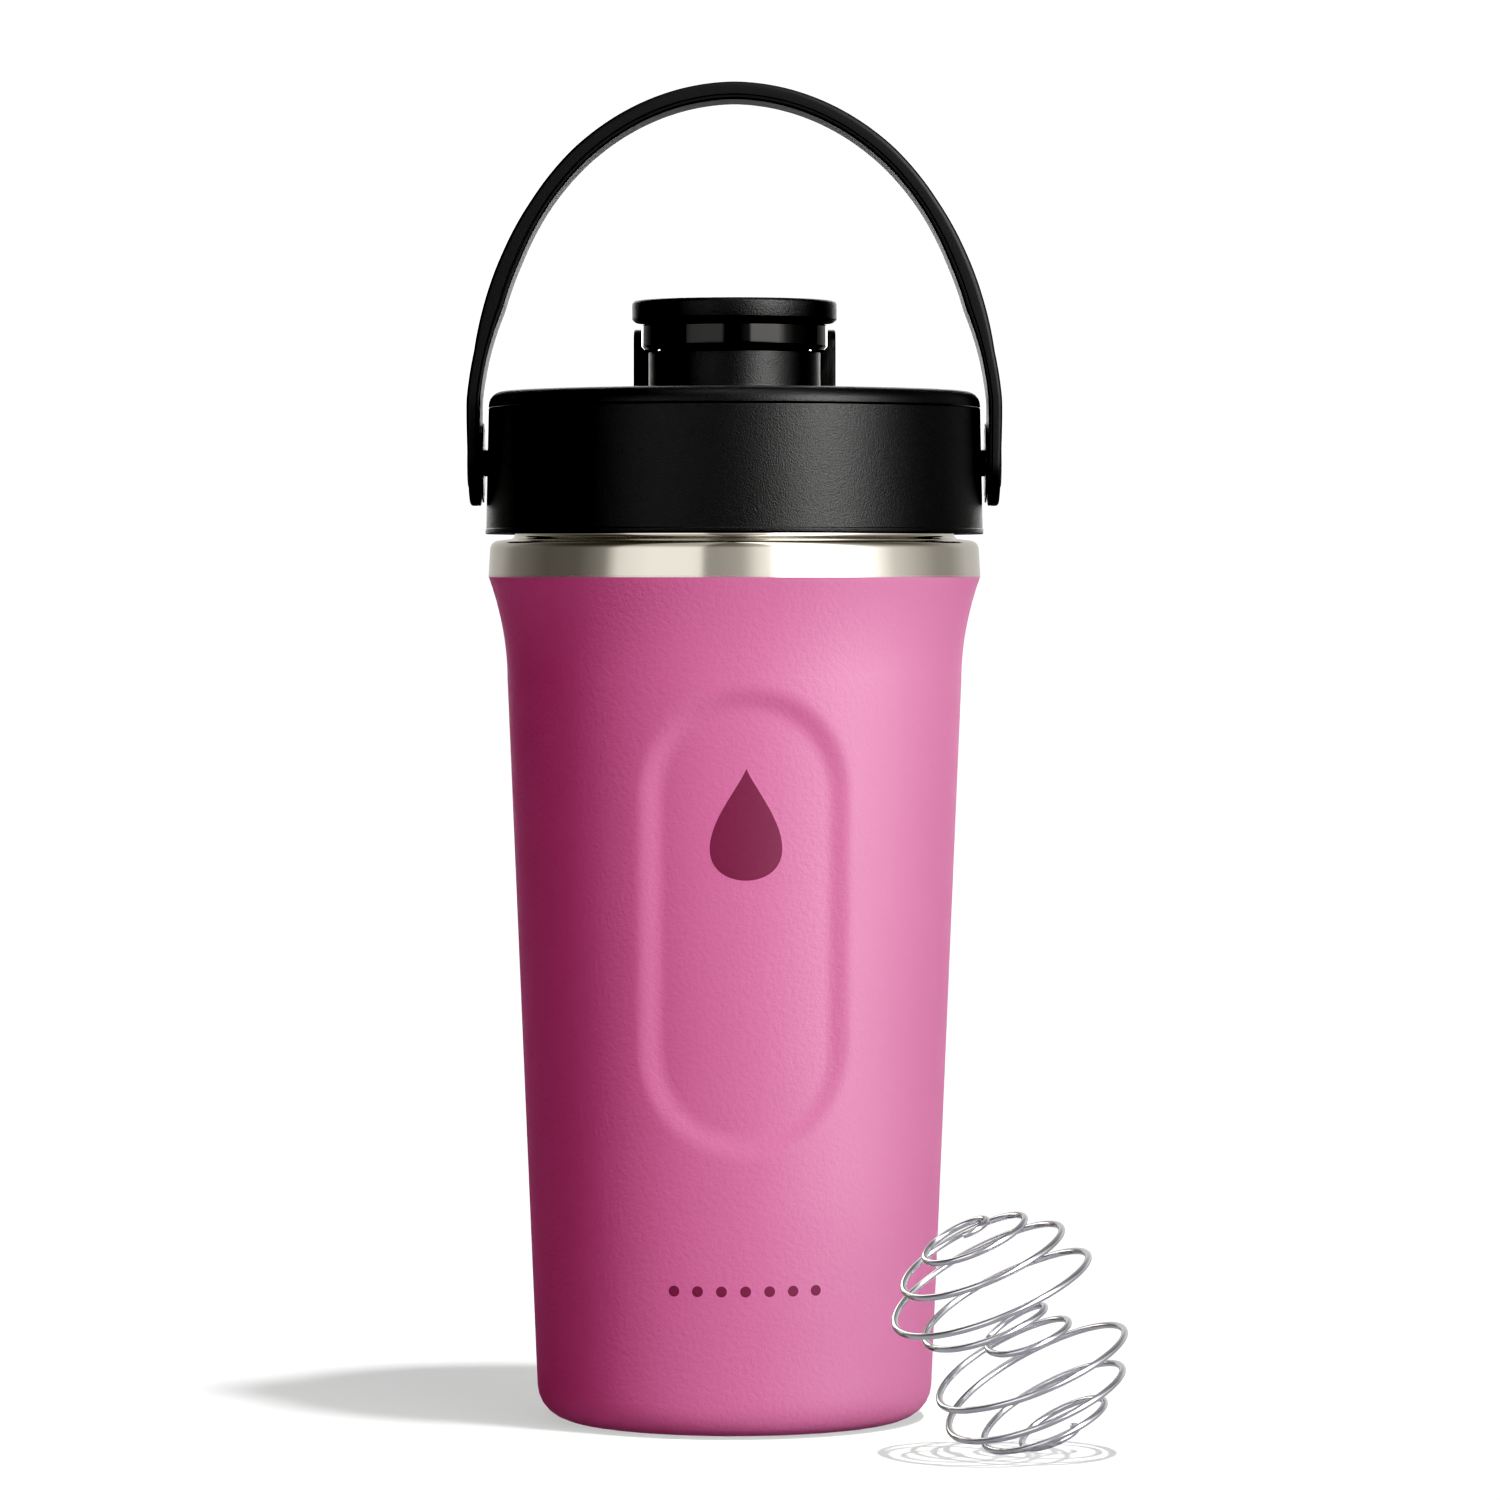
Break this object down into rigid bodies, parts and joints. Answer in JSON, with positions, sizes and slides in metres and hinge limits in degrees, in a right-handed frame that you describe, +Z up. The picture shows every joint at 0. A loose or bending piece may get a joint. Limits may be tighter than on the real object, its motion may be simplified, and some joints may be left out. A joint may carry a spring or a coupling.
{
  "type": "protein shaker bottle",
  "caption": "Insulated steel shaker bottle with front and back grip wells, a screw lid with a flip-cap spout, a swinging carry strap and a loose wire whisk ball.",
  "frame": {"origin": "middle of the base on the bottle's axis, at the height of the surface it stands on", "axes": "+Z up along the bottle's axis; -Y the front, with the marked grip well; X along the strap's two pivots"},
  "size_m": [0.1204, 0.1207, 0.249],
  "materials": {
    "powder_coat": "pink fine-textured powder coat",
    "bare_steel": "18/8 stainless steel, spun and brushed round",
    "rolled_steel": "18/8 stainless sheet, as rolled",
    "solder": "solder bead",
    "getter": "sintered metal powder",
    "lid_plastic": "black polypropylene, spark-textured mould",
    "lip_plastic": "black plastic, polished mould",
    "silicone": "grey food-grade silicone",
    "strap_rubber": "black flexible elastomer, satin",
    "whisk_wire": "bright drawn stainless wire"
  },
  "bodies": {
    "bottle": {"outer_shell": "powder_coat", "neck_ring": "bare_steel", "inner_liner": "bare_steel", "base_plate": "rolled_steel", "base_cover": "bare_steel", "vacuum_port_seal": "solder", "getter_pill": "getter", "getter_bracket": "rolled_steel"},
    "mouth_seal": {"mouth_gasket": "silicone"},
    "lid": {"lid_skirt": "lid_plastic", "lid_liner": "lid_plastic", "lid_top": "lid_plastic", "spout_lip": "lip_plastic", "hinge_pin": "rolled_steel", "strap_stud_left": "lid_plastic", "strap_stud_right": "lid_plastic"},
    "flip_cap": {"flip_cap": "lid_plastic", "spout_plug": "silicone"},
    "strap": {"strap_band": "strap_rubber", "strap_washer_left": "lid_plastic", "strap_washer_right": "lid_plastic"},
    "whisk": {"whisk_ball": "whisk_wire"}
  },
  "joints": [
    {"name": "lid_rise", "type": "slide", "parent": "bottle", "child": "mouth_seal", "axis": [0, 0, 1], "range_m": [0, 0.024]},
    {"name": "lid_turn", "type": "hinge", "parent": "mouth_seal", "child": "lid", "pos_m": [0, 0, 0.177], "axis": [0, 0, 1], "range_deg": [0, 1080]},
    {"name": "flip_cap_hinge", "type": "hinge", "parent": "lid", "child": "flip_cap", "pos_m": [0, 0.02, 0.201], "axis": [-1, 0, 0], "range_deg": [0, 170]},
    {"name": "strap_swing", "type": "hinge", "parent": "lid", "child": "strap", "pos_m": [0, 0, 0.1784], "axis": [1, 0, 0], "range_deg": [-125, 125]},
    {"name": "whisk_pick_up", "type": "slide", "parent": "bottle", "child": "whisk", "axis": [0, 0, 1], "range_m": [0, 0.06]}
  ],
  "couplings": [
    {"joint": "lid_rise", "follows": "lid_turn", "m_per_rad": 0.0012732}
  ]
}
